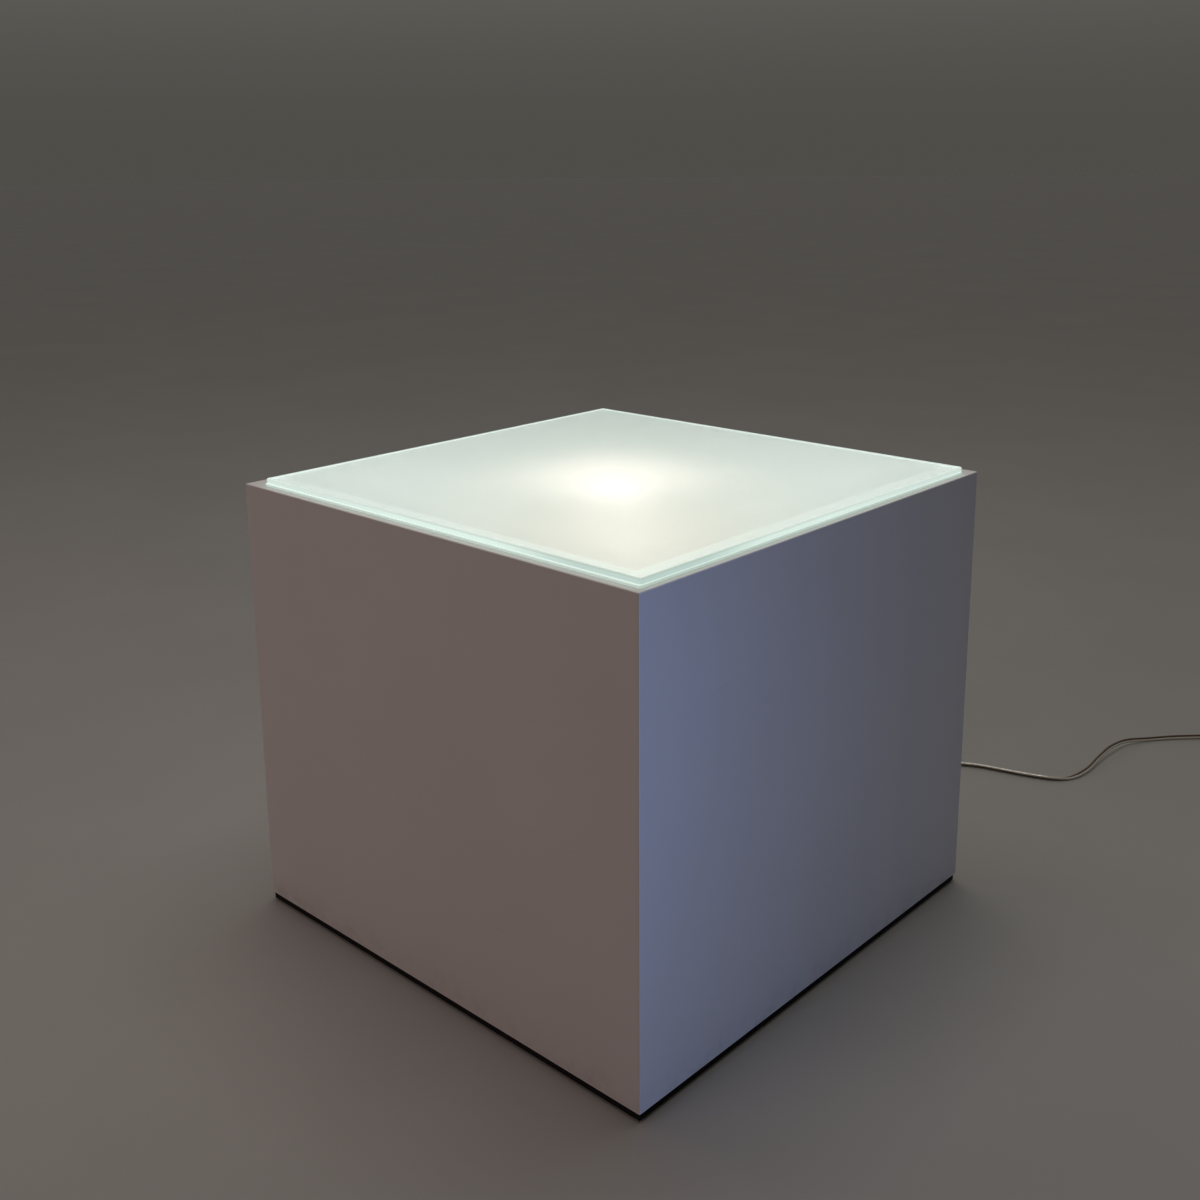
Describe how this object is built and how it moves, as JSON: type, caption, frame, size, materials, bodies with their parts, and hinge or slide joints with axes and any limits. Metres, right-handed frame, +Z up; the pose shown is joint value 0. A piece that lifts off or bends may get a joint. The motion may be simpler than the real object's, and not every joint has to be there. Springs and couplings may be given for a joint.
{
  "type": "internally lit display plinth",
  "caption": "Square white display box with an opal sheet and a clear green-edged sheet on top, lit from inside by a lamp on a rail, on a recessed black base.",
  "frame": {"origin": "on the floor, under the middle of the box", "axes": "+Z up; -Y is the front panel, +X the right panel, and the power cord leaves the rear panel at +Y"},
  "size_m": [0.785, 1.3038, 0.5447],
  "materials": {
    "white_paint": "satin white paint on MDF board",
    "bare_timber": "planed pine",
    "plywood": "birch plywood, unfinished",
    "black_paint": "matt black paint",
    "grey_felt": "pressed felt",
    "opal_acrylic": "opal sheet, lit from below",
    "clear_acrylic": "clear sheet with a pale green polished edge",
    "porcelain": "white glaze",
    "brass": "pressed brass",
    "nickel": "nickel plate",
    "zinc_steel": "zinc plate",
    "white_plastic": "moulded, satin",
    "opal_glass": "opal globe, lit",
    "black_plastic": "black insulator",
    "cord_vinyl": "pale flexible vinyl"
  },
  "bodies": {
    "plinth": {"panel_front": "white_paint", "ledge_front": "white_paint", "panel_right": "white_paint", "ledge_right": "white_paint", "panel_rear": "white_paint", "ledge_rear": "white_paint", "panel_left": "white_paint", "ledge_left": "white_paint", "post_front_left": "bare_timber", "post_front_right": "bare_timber", "post_rear_right": "bare_timber", "post_rear_left": "bare_timber", "bottom_deck": "plywood", "skid_front": "black_paint", "skid_right": "black_paint", "skid_rear": "black_paint", "skid_left": "black_paint", "glide_front_left": "grey_felt", "glide_front_right": "grey_felt", "glide_rear_right": "grey_felt", "glide_rear_left": "grey_felt", "lamp_rail": "plywood", "rail_cleat_left": "bare_timber", "rail_cleat_right": "bare_timber", "rail_screw_left": "zinc_steel", "rail_screw_right": "zinc_steel", "lampholder_body": "porcelain", "lampholder_shell": "brass", "lampholder_contact": "brass", "holder_screw_1": "zinc_steel", "holder_screw_2": "zinc_steel", "inner_lead": "cord_vinyl", "clip_rail": "white_plastic", "clip_deck": "white_plastic", "cord_gland": "white_plastic", "gland_nut": "white_plastic", "strain_relief": "cord_vinyl", "cord_run": "cord_vinyl", "cord_coil": "cord_vinyl", "plug_body": "cord_vinyl", "plug_blade_left": "brass", "plug_blade_right": "brass"},
    "diffuser": {"diffuser_sheet": "opal_acrylic"},
    "cover": {"top_sheet": "clear_acrylic"},
    "bulb_foot": {"bulb_contact": "black_plastic"},
    "bulb": {"bulb_cap": "nickel", "bulb_neck": "white_plastic", "bulb_globe": "opal_glass"}
  },
  "joints": [
    {"name": "diffuser_lift", "type": "slide", "parent": "plinth", "child": "diffuser", "axis": [0, 0, 1], "range_m": [0, 0.25]},
    {"name": "cover_lift", "type": "slide", "parent": "diffuser", "child": "cover", "axis": [0, 0, 1], "range_m": [0, 0.25]},
    {"name": "bulb_rise", "type": "slide", "parent": "plinth", "child": "bulb_foot", "axis": [0, 0, 1], "range_m": [0, 0.01099]},
    {"name": "bulb_unscrew", "type": "hinge", "parent": "bulb_foot", "child": "bulb", "pos_m": [0, 0, 0.38], "axis": [0, 0, 1], "range_deg": [0, 1080]}
  ],
  "couplings": [
    {"joint": "bulb_rise", "follows": "bulb_unscrew", "m_per_rad": 0.00057757}
  ]
}
